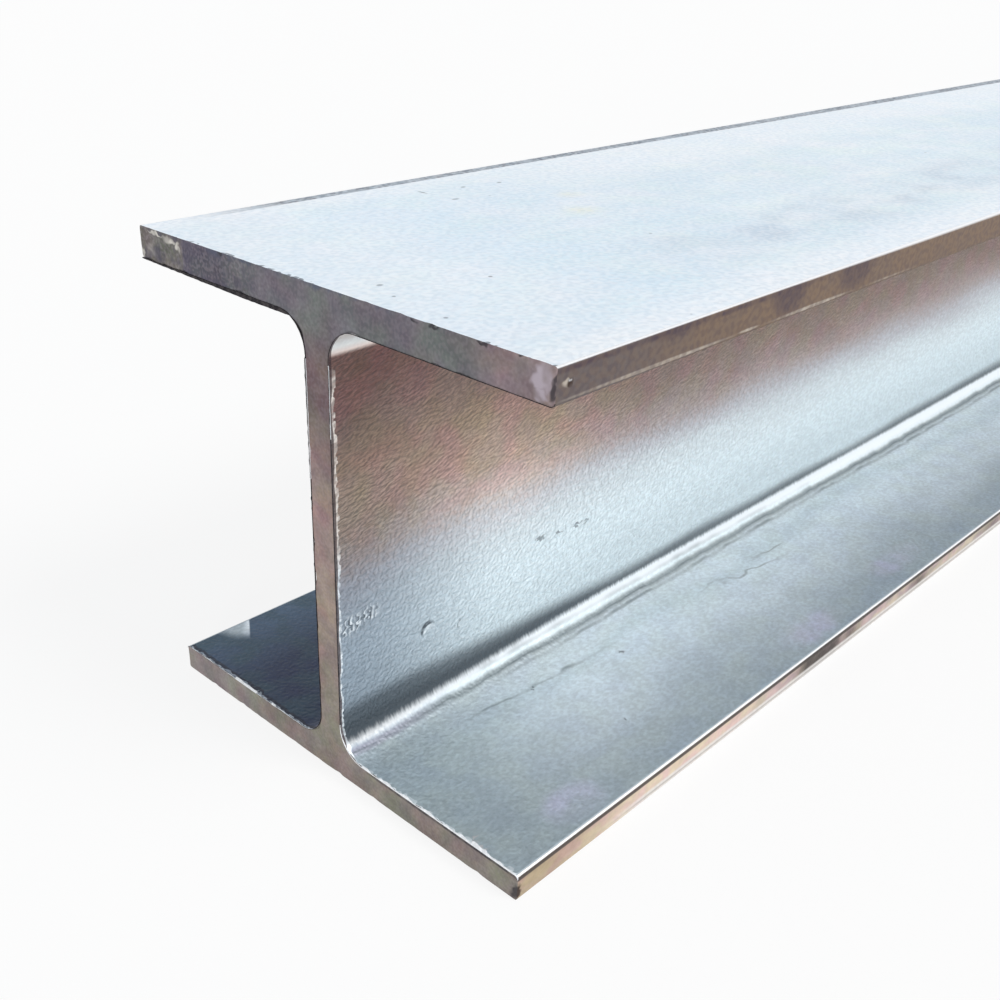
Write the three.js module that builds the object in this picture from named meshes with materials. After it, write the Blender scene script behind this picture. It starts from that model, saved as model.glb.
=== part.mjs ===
// Hot-rolled steel beam with wide parallel flanges (H-section), in one stock length.
// One piece of steel: the section is rolled, and both ends are sawn square to its length.
//
// Frame: X across the flanges, Y along the beam, Z up, in millimetres.
// The origin is under the middle of the beam, on the underside of the lower flange.

import * as THREE from 'three';

// Section, as rolled
const sectionDepth = 200; // over the outer faces of both flanges
const flangeWidth = 204;
const flangeThickness = 12;
const webThickness = 12;
const rootRadius = 13; // fillet between the web and a flange
const toeRadius = 1.5; // inner edge of a flange tip, rounded by the rolls
const heelRadius = 1; // outer edge of a flange tip, nearly sharp

// Cut
const stockLength = 6000;

// Facets in each rounded corner, an even number
const cornerFacets = 12;

const QUARTER_TURN = Math.PI / 2;

// A corner of the outline is an arc. Its angles run in the order in which the outline passes it,
// anticlockwise round the steel, so a hollow corner such as the root fillet turns clockwise.

/** The three corners of the lower right quarter: heel, toe and root. */
function lowerRightCorners() {
  const tip = flangeWidth / 2;
  const heel = {
    x: tip - heelRadius,
    z: heelRadius,
    radius: heelRadius,
    from: -QUARTER_TURN,
    to: 0,
    clockwise: false,
  };
  const toe = {
    x: tip - toeRadius,
    z: flangeThickness - toeRadius,
    radius: toeRadius,
    from: 0,
    to: QUARTER_TURN,
    clockwise: false,
  };
  const root = {
    x: webThickness / 2 + rootRadius,
    z: flangeThickness + rootRadius,
    radius: rootRadius,
    from: -QUARTER_TURN,
    to: -2 * QUARTER_TURN,
    clockwise: true,
  };
  return [heel, toe, root];
}

/** The same corner on the other flange, met the other way round. */
function flipped(corner) {
  return { ...corner, z: sectionDepth - corner.z, from: -corner.to, to: -corner.from };
}

/** The same corner after half a turn of the whole section about its middle. */
function turned(corner) {
  return {
    ...corner,
    x: -corner.x,
    z: sectionDepth - corner.z,
    from: corner.from + 2 * QUARTER_TURN,
    to: corner.to + 2 * QUARTER_TURN,
  };
}

/** Outline of the rolled section: flat faces joined by its twelve rounded corners. */
function sectionOutline() {
  const lower = lowerRightCorners();
  const upper = lower.map(flipped).reverse();
  const rightHalf = [...lower, ...upper];
  const outline = new THREE.Shape();
  for (const corner of [...rightHalf, ...rightHalf.map(turned)]) {
    outline.absarc(corner.x, corner.z, corner.radius, corner.from, corner.to, corner.clockwise);
  }
  return outline;
}

/** The beam: its section drawn out to the stock length, centred on the origin. */
function rolledBeam() {
  const geometry = new THREE.ExtrudeGeometry(sectionOutline(), {
    depth: stockLength,
    steps: 1,
    bevelEnabled: false,
    curveSegments: cornerFacets / 2, // an arc is split into twice this many
  });
  const millSteel = new THREE.MeshStandardMaterial({
    color: 0xaab4b8,
    roughness: 0.42,
    metalness: 0.85,
  });
  const beam = new THREE.Mesh(geometry, millSteel);
  beam.name = 'rolled_beam';
  beam.rotation.x = QUARTER_TURN; // stands the section up in XZ, so its length runs along -Y
  beam.position.y = stockLength / 2;
  return beam;
}

const group = new THREE.Group();
group.add(rolledBeam());

export default group;
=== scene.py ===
"""Looks of a hot-rolled wide-flange steel beam: bare mill steel with sawn, burred ends."""

import logging
import math
from collections.abc import Callable
from dataclasses import dataclass
from enum import Enum
from functools import cached_property

import bpy
from mathutils import Matrix, Vector, noise


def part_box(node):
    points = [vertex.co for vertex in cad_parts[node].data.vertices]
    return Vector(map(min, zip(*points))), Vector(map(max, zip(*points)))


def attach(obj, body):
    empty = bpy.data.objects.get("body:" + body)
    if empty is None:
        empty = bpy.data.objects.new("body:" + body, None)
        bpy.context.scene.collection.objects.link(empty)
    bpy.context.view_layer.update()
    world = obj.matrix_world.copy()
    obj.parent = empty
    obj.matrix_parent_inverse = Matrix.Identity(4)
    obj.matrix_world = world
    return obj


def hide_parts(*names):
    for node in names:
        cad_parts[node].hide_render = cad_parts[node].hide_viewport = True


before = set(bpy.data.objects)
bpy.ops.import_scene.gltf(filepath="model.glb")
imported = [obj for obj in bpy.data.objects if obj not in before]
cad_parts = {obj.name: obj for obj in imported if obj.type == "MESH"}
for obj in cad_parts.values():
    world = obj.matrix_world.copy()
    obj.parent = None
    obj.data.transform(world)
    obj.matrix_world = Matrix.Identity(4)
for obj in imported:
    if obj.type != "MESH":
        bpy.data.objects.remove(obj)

LOG = logging.getLogger("beam")
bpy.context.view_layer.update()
BEAM_NODE = "rolled_beam"
MM = 0.001
MARK_INNER = 0.45  # a mark is whole up to here, as a share of its size
MARK_OUTER = 1.15  # and ends here

Triple = tuple[float, float, float]
Colour = Triple
Socket = bpy.types.NodeSocket
Number = Socket | float


# ---------------------------------------------------------------- node trees


@dataclass(frozen=True)
class Stop:
    """The colour of a face at one distance, in millimetres."""

    at: float
    colour: Colour


@dataclass
class Tree:
    """Adds and joins the nodes of one material or node group."""

    nodes: bpy.types.NodeTree

    @classmethod
    def fresh(cls, owner: bpy.types.ID) -> "Tree":
        """Open the emptied node tree of a material or a world."""
        owner.use_nodes = True
        owner.node_tree.nodes.clear()
        return cls(owner.node_tree)

    def add(self, kind: str, inputs: dict | None = None, **settings: object) -> bpy.types.Node:
        """Add a node.

        Args:
            kind: Blender's name of the node type.
            inputs: Sockets or plain values, by input name or index.
            settings: Properties of the node itself.

        Returns:
            The new node.
        """
        node = self.nodes.nodes.new(kind)
        for name, value in settings.items():
            setattr(node, name, value)
        for name, value in (inputs or {}).items():
            self.feed(node.inputs[name], value)
        return node

    def feed(self, socket: Socket, value: object) -> None:
        """Join a socket to another one, or set its plain value."""
        if isinstance(value, bpy.types.NodeSocket):
            self.nodes.links.new(value, socket)
        elif socket.type == "RGBA" and len(value) == 3:
            socket.default_value = (*value, 1.0)
        else:
            socket.default_value = value

    def math(self, operation: str, *values: Number, clamp: bool = False) -> Socket:
        """Work out one number from others."""
        inputs = dict(enumerate(values))
        return self.add("ShaderNodeMath", inputs, operation=operation, use_clamp=clamp).outputs[0]

    def chain(self, operation: str, values: tuple[Number, ...]) -> Number:
        """Carry one operation through a row of numbers."""
        result = values[0]
        for value in values[1:]:
            result = self.math(operation, result, value)
        return result

    def times(self, *values: Number) -> Number:
        """Product of some numbers."""
        return self.chain("MULTIPLY", values)

    def plus(self, *values: Number) -> Number:
        """Sum of some numbers."""
        return self.chain("ADD", values)

    def most(self, *values: Number) -> Number:
        """Greatest of some numbers."""
        return self.chain("MAXIMUM", values)

    def minus(self, first: Number, second: Number) -> Socket:
        """Difference of two numbers."""
        return self.math("SUBTRACT", first, second)

    def size(self, value: Socket) -> Socket:
        """A number without its sign."""
        return self.math("ABSOLUTE", value)

    def sway(self, mottle: Socket, reach: float) -> Socket:
        """Turn a mottle from 0 to 1 into a shift to both sides, as far as `reach` from end to end."""
        return self.times(self.minus(mottle, 0.5), reach)

    def vector(self, operation: str, *values: object) -> Socket:
        """Work out one vector from others."""
        inputs = dict(enumerate(values))
        return self.add("ShaderNodeVectorMath", inputs, operation=operation).outputs[0]

    def split(self, vector: Socket) -> tuple[Socket, Socket, Socket]:
        """Give the three parts of a vector."""
        parts = self.add("ShaderNodeSeparateXYZ", {0: vector}).outputs
        return parts[0], parts[1], parts[2]

    def spread(self, value: Number, low: Number, high: Number, to_low: Number = 0.0,
               to_high: Number = 1.0) -> Socket:
        """Carry a value smoothly from one range to another.

        Args:
            value: The number to carry over.
            low: Where the range starts.
            high: Where the range ends.
            to_low: What the start becomes.
            to_high: What the end becomes.

        Returns:
            The new number, held at its ends.
        """
        inputs = dict(enumerate((value, low, high, to_low, to_high)))
        return self.add("ShaderNodeMapRange", inputs, interpolation_type="SMOOTHSTEP").outputs[0]

    def mix(self, share: Number, first: object, second: object, blend: str = "MIX") -> Socket:
        """Mix two colours.

        Args:
            share: How much of the second colour shows, from 0 to 1.
            first: The colour below.
            second: The colour above.
            blend: Blender's name of the way they mix.

        Returns:
            The mixed colour.
        """
        inputs = {"Factor": share, 6: first, 7: second}
        return self.add("ShaderNodeMix", inputs, data_type="RGBA", blend_type=blend).outputs[2]

    def lerp(self, share: Number, first: Number, second: Number) -> Socket:
        """Mix two numbers."""
        return self.add("ShaderNodeMix", {0: share, 2: first, 3: second}, data_type="FLOAT").outputs[0]

    def noise(self, vector: Socket, scale: Number, detail: Number, roughness: float = 0.5) -> bpy.types.Node:
        """Add a cloudy pattern."""
        inputs = {"Vector": vector, "Scale": scale, "Detail": detail, "Roughness": roughness}
        return self.add("ShaderNodeTexNoise", inputs)

    def ramp(self, value: Socket, stops: tuple[Stop, ...]) -> Socket:
        """Run through a row of colours.

        Args:
            value: A distance, in metres.
            stops: The colours and where they stand, from the lowest to the highest.

        Returns:
            The colour at that distance.
        """
        low, span = stops[0].at * MM, (stops[-1].at - stops[0].at) * MM
        place = self.math("MULTIPLY_ADD", value, 1.0 / span, -low / span)
        node = self.add("ShaderNodeValToRGB", {0: place})
        elements = node.color_ramp.elements
        while len(elements) < len(stops):
            elements.new(1.0)
        for element, stop in zip(elements, stops):
            element.position = (stop.at * MM - low) / span
            element.color = (*stop.colour, 1.0)
        return node.outputs[0]


Sockets = dict[str, Socket]
Recipe = Callable[[Tree, Sockets], Sockets]


class Effect(Enum):
    """The surface effects that several finishes share."""

    CLOUDS = "clouds"
    FLECKS = "colour_flecks"
    SKIN = "rolled_skin"
    PITS = "pits"
    SCRAPES = "scrapes"
    BAND = "soft_band"
    SPOT = "spot"
    GRAIN = "grain"
    END_DISTANCE = "end_distance"
    ROOT_DISTANCE = "root_distance"


class EffectShop:
    """Builds each shared effect once, as a node group, and places it in materials."""

    def __init__(self) -> None:
        """Build every effect, with the default values of its inputs."""
        self.groups: dict[Effect, bpy.types.NodeTree] = {}
        drawn = {"Vector": None, "Draw_Out": 1.5, "Seed": 0.0}
        self.build(Effect.CLOUDS, self.clouds, **drawn, Scale=8.0, Detail=2.0, Contrast=1.0)
        self.build(Effect.FLECKS, self.flecks, **drawn, Size=0.01, Detail=1.0)
        self.build(Effect.SKIN, self.skin, Vector=None, Size=0.0012, Slant=-0.22, Dimples=0.45)
        self.build(Effect.PITS, self.pits, Vector=None, Spacing=0.02, Radius=0.0008, Share=0.3)
        self.build(Effect.SCRAPES, self.scrapes, Along=0.0, Up=0.0, Pitch=0.0032, Lean=0.15)
        self.build(Effect.BAND, self.band, Value=0.0, Centre=0.0, Half_Width=1.0, Softness=0.5)
        self.build(Effect.SPOT, self.spot, Vector=None, Narrowing=None, Offset=None)
        self.build(Effect.GRAIN, self.grain, Vector=None, Size=0.0018)
        self.build(Effect.END_DISTANCE, self.end_distance, Vector=None, Half_Length=3.0)
        section = {"Half_Web": 0.006, "Flange": 0.012, "Depth": 0.2}
        self.build(Effect.ROOT_DISTANCE, self.root_distance, Vector=None, **section)

    def build(self, effect: Effect, recipe: Recipe, **inputs: float | None) -> None:
        """Build one effect.

        Args:
            effect: The effect that the group makes.
            recipe: Makes the numbers that it puts out, by name.
            inputs: Default values of its inputs; None stands for a vector.
        """
        group = bpy.data.node_groups.new(effect.value, "ShaderNodeTree")
        for name, default in inputs.items():
            kind = "NodeSocketVector" if default is None else "NodeSocketFloat"
            socket = group.interface.new_socket(name, in_out="INPUT", socket_type=kind)
            if default is not None:
                socket.default_value = default
        tree = Tree(group)
        entry = tree.add("NodeGroupInput")
        outputs = recipe(tree, {name: entry.outputs[name] for name in inputs})
        for name in outputs:
            group.interface.new_socket(name, in_out="OUTPUT", socket_type="NodeSocketFloat")
        tree.add("NodeGroupOutput", outputs)
        self.groups[effect] = group

    def place(self, tree: Tree, effect: Effect, **inputs: object) -> list[Socket]:
        """Put an effect into a material.

        Args:
            tree: The material's tree.
            effect: The effect to place.
            inputs: Values of its inputs, by name.

        Returns:
            The effect's outputs.
        """
        node = tree.add("ShaderNodeGroup", node_tree=self.groups[effect])
        for name, value in inputs.items():
            tree.feed(node.inputs[name], value)
        return list(node.outputs)

    def drawn_out(self, tree: Tree, ins: Sockets) -> Socket:
        """Coordinates of a pattern that is stretched along the beam and moved to a place of its own."""
        x, y, z = tree.split(ins["Vector"])
        drawn = tree.add("ShaderNodeCombineXYZ", {0: x, 1: tree.math("DIVIDE", y, ins["Draw_Out"]), 2: z})
        return tree.vector("ADD", drawn.outputs[0], ins["Seed"])

    def clouds(self, tree: Tree, ins: Sockets) -> Sockets:
        """Cloudy patches of tone, drawn out along the beam."""
        cloud = tree.noise(self.drawn_out(tree, ins), ins["Scale"], ins["Detail"], 0.6)
        half_width = tree.math("DIVIDE", 0.2, ins["Contrast"])
        low, high = tree.minus(0.5, half_width), tree.plus(0.5, half_width)
        return {"Value": tree.spread(cloud.outputs["Fac"], low, high)}

    def flecks(self, tree: Tree, ins: Sockets) -> Sockets:
        """Three unrelated mottles, for small flecks of other colours."""
        scale = tree.math("DIVIDE", 1.0, ins["Size"])
        mottle = tree.noise(self.drawn_out(tree, ins), scale, ins["Detail"], 0.6)
        parts = zip(("Warm", "Cool", "Shade"), tree.split(mottle.outputs["Color"]))
        return {name: tree.spread(part, 0.38, 0.66) for name, part in parts}

    def skin(self, tree: Tree, ins: Sockets) -> Sockets:
        """Relief of a rolled face, slanting ripples and round dimples: its height, and painted light and
        shade on its flanks, lighter where the relief faces up.
        """
        turn = {"Vector": ins["Vector"], "Angle": ins["Slant"]}
        turned = tree.add("ShaderNodeVectorRotate", turn, rotation_type="X_AXIS")
        drawn = tree.vector("MULTIPLY", turned.outputs[0], (1.0, 0.38, 1.0))
        # a copy a little lower down: its difference paints light and shade on the flanks
        below = tree.vector("ADD", drawn, (0.0, 0.0, -0.0003))
        scale = tree.math("DIVIDE", 1.0, ins["Size"])
        fine, flank = (tree.noise(place, scale, 1.0).outputs["Fac"] for place in (drawn, below))
        dimples = tree.noise(ins["Vector"], tree.times(scale, 0.75), 0.0).outputs["Fac"]
        return {
            "Height": tree.spread(tree.lerp(ins["Dimples"], fine, dimples), 0.3, 0.7),
            "Painted_Flank_Light": tree.spread(tree.minus(flank, fine), -0.11, 0.11),
        }

    def pits(self, tree: Tree, ins: Sockets) -> Sockets:
        """Scattered round pits. Mask of 1 inside a pit."""
        scale = tree.math("DIVIDE", 1.0, ins["Spacing"])
        cells = tree.add("ShaderNodeTexVoronoi", {"Vector": ins["Vector"], "Scale": scale})
        pick = tree.split(cells.outputs["Color"])
        size = tree.times(ins["Radius"], tree.plus(0.4, pick[1]))
        reach = tree.math("DIVIDE", size, ins["Spacing"])
        spot = tree.spread(cells.outputs["Distance"], tree.times(reach, 0.5), reach, 1.0, 0.0)
        return {"Mask": tree.times(spot, tree.math("LESS_THAN", pick[0], ins["Share"]))}

    def scrapes(self, tree: Tree, ins: Sockets) -> Sockets:
        """Torn scratches side by side. Masks of a scratch's dark bed and of its raised bank."""
        slanted = tree.minus(ins["Along"], tree.times(ins["Up"], ins["Lean"]))
        phase = tree.math("FRACT", tree.math("DIVIDE", slanted, ins["Pitch"]))
        masks = {}
        for name, centre in (("Bed", 0.3), ("Bank", 0.65)):
            masks[name] = tree.spread(tree.size(tree.minus(phase, centre)), 0.06, 0.24, 1.0, 0.0)
        return masks

    def band(self, tree: Tree, ins: Sockets) -> Sockets:
        """A band with soft edges. Mask of 1 inside it."""
        off = tree.size(tree.minus(ins["Value"], ins["Centre"]))
        inner = tree.minus(ins["Half_Width"], ins["Softness"])
        outer = tree.plus(ins["Half_Width"], ins["Softness"])
        return {"Mask": tree.spread(off, inner, outer, 1.0, 0.0)}

    def spot(self, tree: Tree, ins: Sockets) -> Sockets:
        """Distance from the middle of one oval mark, as a share of its size."""
        away = tree.vector("MULTIPLY_ADD", ins["Vector"], ins["Narrowing"], ins["Offset"])
        length = tree.add("ShaderNodeVectorMath", {0: away}, operation="LENGTH")
        return {"Away": length.outputs["Value"]}

    def grain(self, tree: Tree, ins: Sockets) -> Sockets:
        """Relief of a fine grain, from 0 to 1."""
        grain = tree.noise(ins["Vector"], tree.math("DIVIDE", 1.0, ins["Size"]), 0.0)
        return {"Height": tree.spread(grain.outputs["Fac"], 0.3, 0.7)}

    def end_distance(self, tree: Tree, ins: Sockets) -> Sockets:
        """Distance to the nearer sawn end."""
        return {"Distance": tree.minus(ins["Half_Length"], tree.size(tree.split(ins["Vector"])[1]))}

    def root_distance(self, tree: Tree, ins: Sockets) -> Sockets:
        """Distance round the roots: negative up or down the web, positive out along the flange."""
        x, _, z = tree.split(ins["Vector"])
        outwards = tree.minus(tree.size(x), ins["Half_Web"])
        heights = {"Lower": z, "Upper": tree.minus(ins["Depth"], z)}
        return {
            name: tree.minus(outwards, tree.minus(height, ins["Flange"])) for name, height in heights.items()
        }


# ---------------------------------------------------------------- finishes


class Zone(Enum):
    """The faces of the beam that are finished in their own way."""

    TOP = "upper_face"
    RIGHT_CHANNEL = "right_channel"
    LEFT_CHANNEL = "left_channel"
    TIPS = "flange_tips"
    UNDERSIDE = "underside"
    ENDS = "sawn_ends"
    BURR = "saw_burr"
    DARK_BURR = "scaled_and_shade_burr"


@dataclass(frozen=True)
class Mark:
    """A mark at one place, in millimetres: across, in from the near end, and up."""

    place: Triple
    size: Triple
    strength: float = 1.0

    @property
    def fade(self) -> float:
        """How far out the middle of a weak mark starts, so that the mask there is its strength."""
        if self.strength >= 1.0:
            return 0.0
        share = 0.5 - math.sin(math.asin(1.0 - 2.0 * self.strength) / 3.0)
        return MARK_OUTER - (MARK_OUTER - MARK_INNER) * share


@dataclass(frozen=True)
class Band:
    """A band with soft edges at some distance, in millimetres."""

    centre: float
    half_width: float
    softness: float


@dataclass(frozen=True)
class Run:
    """How a value changes between two distances, in millimetres."""

    start: float
    end: float
    first: float = 0.0
    last: float = 1.0


@dataclass
class Face:
    """A face in the making: its nodes, its coordinates, and the coats of colour laid so far."""

    shop: EffectShop
    section: "Section"
    tree: Tree
    where: Socket
    colour: Socket | Colour = (0.0, 0.0, 0.0)

    @cached_property
    def inwards(self) -> Socket:
        """Distance to the nearer sawn end."""
        return self.pattern(Effect.END_DISTANCE, Half_Length=self.section.length / 2)[0]

    def pattern(self, effect: Effect, **inputs: object) -> list[Socket]:
        """Place an effect that follows the face, and give its outputs."""
        return self.shop.place(self.tree, effect, Vector=self.where, **inputs)

    def over(self, distance: Number, run: Run) -> Socket:
        """Give a value that changes with some distance."""
        return self.tree.spread(distance, run.start * MM, run.end * MM, run.first, run.last)

    def along(self, run: Run) -> Socket:
        """Give a value that changes inwards from the sawn end."""
        return self.over(self.inwards, run)

    def band(self, value: Number, band: Band) -> Socket:
        """Mask of a band at some distance."""
        return self.shop.place(
            self.tree, Effect.BAND, Value=value, Centre=band.centre * MM, Half_Width=band.half_width * MM,
            Softness=band.softness * MM,
        )[0]

    def marks(self, marks: tuple[Mark, ...], where: Socket | None = None) -> Number:
        """Put marks at their places.

        Args:
            marks: The marks.
            where: Coordinates to use instead of the face's own.

        Returns:
            A mask, 1 on a mark.
        """
        if not marks:
            return 0.0
        place = self.where if where is None else where
        nearest = None
        for mark in marks:
            x, inwards, z = (value * MM for value in mark.place)
            centre = (x, inwards - self.section.length / 2, z)
            narrowing = tuple(1.0 / (value * MM) for value in mark.size)
            offset = tuple(-c * n for c, n in zip(centre, narrowing))
            away = self.shop.place(
                self.tree, Effect.SPOT, Vector=place, Narrowing=narrowing, Offset=offset
            )[0]
            if mark.fade:
                away = self.tree.math("MULTIPLY_ADD", away, 1.0 - mark.fade / MARK_OUTER, mark.fade)
            nearest = away if nearest is None else self.tree.math("MINIMUM", nearest, away)
        return self.tree.spread(nearest, MARK_INNER, MARK_OUTER, 1.0, 0.0)

    def shaken(self, mottles: list[Socket], reach: float) -> Socket:
        """Shake the coordinates a little, so that marks placed with them get torn edges.

        Args:
            mottles: Three very small mottles.
            reach: How far the shaking carries, from end to end.

        Returns:
            The shaken coordinates.
        """
        shake = self.tree.add("ShaderNodeCombineXYZ", dict(enumerate(mottles))).outputs[0]
        off = self.tree.vector("MULTIPLY_ADD", shake, (reach,) * 3, (-reach / 2,) * 3)
        return self.tree.vector("ADD", self.where, off)

    def lay(self, tone: object, *shares: Number, blend: str = "MIX") -> None:
        """Lay a coat over the colour so far.

        Args:
            tone: The coat's colour.
            shares: Masks and numbers; as much of the coat shows as their product.
            blend: Blender's name of the way that it mixes.
        """
        self.colour = self.tree.mix(self.tree.times(*shares), self.colour, tone, blend)

    def tint(self, tone: object, *shares: Number) -> None:
        """Multiply the colour so far by a tone, as much as the product of some masks and numbers."""
        self.lay(tone, *shares, blend="MULTIPLY")


@dataclass(frozen=True)
class Look:
    """What a finish gives the shader beside the colour."""

    roughness: Number
    height: Socket | None = None  # relief in metres
    metallic: Number | None = None  # the finish's own one if not given
    sheen: Number = 0.5


@dataclass(frozen=True)
class SteelFinish:
    """What every steel finish has in common."""

    zone: Zone
    metallic: float = 0.35

    def dress(self, face: Face) -> Look:
        """Lay the coats of one face and give the rest of its look."""
        raise NotImplementedError

    def make(self, shop: EffectShop, section: "Section") -> bpy.types.Material:
        """Build the material.

        Args:
            shop: The shared effects.
            section: The section that the finish follows.

        Returns:
            The material.
        """
        material = bpy.data.materials.new(self.zone.value)
        tree = Tree.fresh(material)
        face = Face(shop, section, tree, tree.add("ShaderNodeTexCoord").outputs["Object"])
        look = self.dress(face)
        shader = tree.add("ShaderNodeBsdfPrincipled", {
            "Base Color": face.colour,
            "Roughness": look.roughness,
            "Metallic": self.metallic if look.metallic is None else look.metallic,
            "Specular IOR Level": look.sheen,
        })
        if look.height is not None:
            bump = tree.add("ShaderNodeBump", {"Strength": 1.0, "Distance": 1.0, "Height": look.height})
            tree.feed(shader.inputs["Normal"], bump.outputs[0])
        tree.add("ShaderNodeOutputMaterial", {"Surface": shader.outputs[0]})
        return material


@dataclass(frozen=True)
class TopFinish(SteelFinish):
    """Pale, washed mill skin of the upper face."""

    zone: Zone = Zone.TOP
    pale: Colour = (0.79, 0.91, 0.99)
    cool: Colour = (0.645, 0.785, 0.90)
    lavender: Colour = (0.89, 0.90, 0.98)
    mint: Colour = (0.73, 0.89, 0.89)
    straw: Colour = (0.84, 0.85, 0.70)
    wiped: Colour = (0.50, 0.60, 0.72)
    dark: Colour = (0.06, 0.075, 0.11)
    edge: Colour = (0.93, 0.95, 0.99)
    aged: Colour = (1.0, 0.98, 0.955)
    wiped_strip: Band = Band(54, 18, 14)
    wiped_from: Run = Run(90, 150)
    aged_from: Run = Run(80, 300)
    worn_edge: float = 30 * MM  # width along each long edge that is worn whiter
    worn_most: float = 2 * MM  # and how near to the edge it is whitest
    washed_side: Run = Run(-20, -70)
    washed_from: Run = Run(70, 250, 0.0, 0.6)
    washed_end: Run = Run(110, 0, 0.0, 0.45)
    far_band_reach: Run = Run(0, 700, 5.4 * MM, 9.4 * MM)  # width of the dark band along the far edge
    far_band_from: Run = Run(10, 80)
    rim_width: tuple[float, float] = (0.3 * MM, 2.2 * MM)
    relief: float = 0.16 * MM
    stains: tuple[Mark, ...] = (
        Mark((-13, 152, 200), (10, 13, 9), 0.8),
        Mark((-37, 172, 200), (9, 11, 9), 0.7),
    )
    nicks: tuple[Mark, ...] = (
        Mark((-60, 126, 200), (1.2, 2.2, 2)),
        Mark((-75, 146, 200), (1.0, 1.6, 2)),
        Mark((-78, 124, 200), (3.6, 0.8, 2)),
        Mark((-72, 166, 200), (0.9, 1.8, 2)),
        Mark((14, 16, 200), (1.1, 1.5, 2)),
        Mark((26, 11, 200), (0.8, 0.8, 2)),
        Mark((30, 51, 200), (0.9, 0.9, 2)),
        Mark((52, 8, 200), (0.9, 0.9, 2)),
    )

    def wear(self, face: Face, across: Socket, swirls: Socket) -> Socket:
        """Lay the wear of the long edges, and a dark band along the far one.

        Args:
            face: The upper face.
            across: Distance from the middle.
            swirls: Small clouds.

        Returns:
            A mask of the dark band.
        """
        tree, half_width = face.tree, face.section.width / 2
        outer = tree.spread(tree.size(across), half_width - self.worn_edge, half_width - self.worn_most)
        washed = tree.times(face.over(across, self.washed_side), face.along(self.washed_from))
        washed = tree.plus(washed, face.along(self.washed_end))
        face.lay(self.edge, tree.most(tree.times(outer, 0.8), washed))
        reach = face.along(self.far_band_reach)
        left = tree.spread(tree.plus(across, half_width), tree.plus(reach, 1 * MM), reach)
        left = tree.times(left, face.along(self.far_band_from))
        face.lay(self.dark, left, tree.lerp(swirls, 1.0, 0.75))
        return left

    def dress(self, face: Face) -> Look:
        """Lay the coats of the upper face."""
        tree = face.tree
        across = tree.split(face.where)[0]
        broad = face.pattern(Effect.CLOUDS, Scale=11.0, Draw_Out=1.6, Contrast=1.6, Seed=1.0)[0]
        swirls = face.pattern(Effect.CLOUDS, Scale=30.0, Draw_Out=1.7, Contrast=1.5, Seed=2.0)[0]
        warm, cool, shade = face.pattern(Effect.FLECKS, Size=0.022, Draw_Out=1.5, Seed=3.0)
        fine = face.pattern(Effect.FLECKS, Size=0.0019, Draw_Out=1.2, Detail=0.0, Seed=5.0)
        face.colour = self.pale
        face.lay(self.cool, broad, 0.75)
        face.lay(self.lavender, warm, 0.5)
        face.lay(self.mint, cool, 0.4)
        face.lay(self.cool, swirls, 0.55)
        face.lay(self.straw, face.marks(self.stains), tree.lerp(warm, 0.3, 1.0))
        wiped = tree.times(face.band(across, self.wiped_strip), face.along(self.wiped_from))
        face.lay(self.wiped, wiped, tree.lerp(shade, 0.12, 0.72))
        face.tint(self.aged, face.along(self.aged_from))
        left = self.wear(face, across, swirls)
        face.lay(self.wiped, fine[0], 0.28)
        face.lay(self.edge, fine[1], 0.3)

        pits = face.pattern(Effect.PITS, Spacing=0.014, Radius=0.0008, Share=0.12)[0]
        # the sawn edge is torn in places: thick where the broad mottle allows it
        rim = tree.lerp(tree.times(tree.spread(shade, 0.25, 0.75), fine[2]), *self.rim_width)
        front = tree.spread(face.inwards, rim, tree.times(rim, 0.6))
        marks = tree.most(tree.times(pits, 0.5), tree.times(face.marks(self.nicks), 0.7))
        face.lay(self.dark, tree.most(marks, tree.times(front, 0.85)))
        height = face.pattern(Effect.SKIN, Size=0.0024, Dimples=0.5)[0]
        face.lay(self.cool, height, 0.26)
        return Look(
            roughness=tree.lerp(swirls, 0.42, 0.55),
            height=tree.times(height, self.relief),
            metallic=tree.lerp(left, self.metallic, 0.0),
            sheen=tree.lerp(left, 0.5, 0.1),
        )


@dataclass(frozen=True)
class ChannelMap:
    """Where the surface of a channel lies, and the mottles that break up its marks."""

    x: Socket
    z: Socket
    lower: Socket  # distance round the lower root: negative up the web, positive out along the flange
    upper: Socket  # the same round the upper root
    broad: Socket  # broad clouds
    flecks: list[Socket]  # three small mottles
    fine: list[Socket]  # three very small ones
    torn: Socket  # bristly noise about 0


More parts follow.
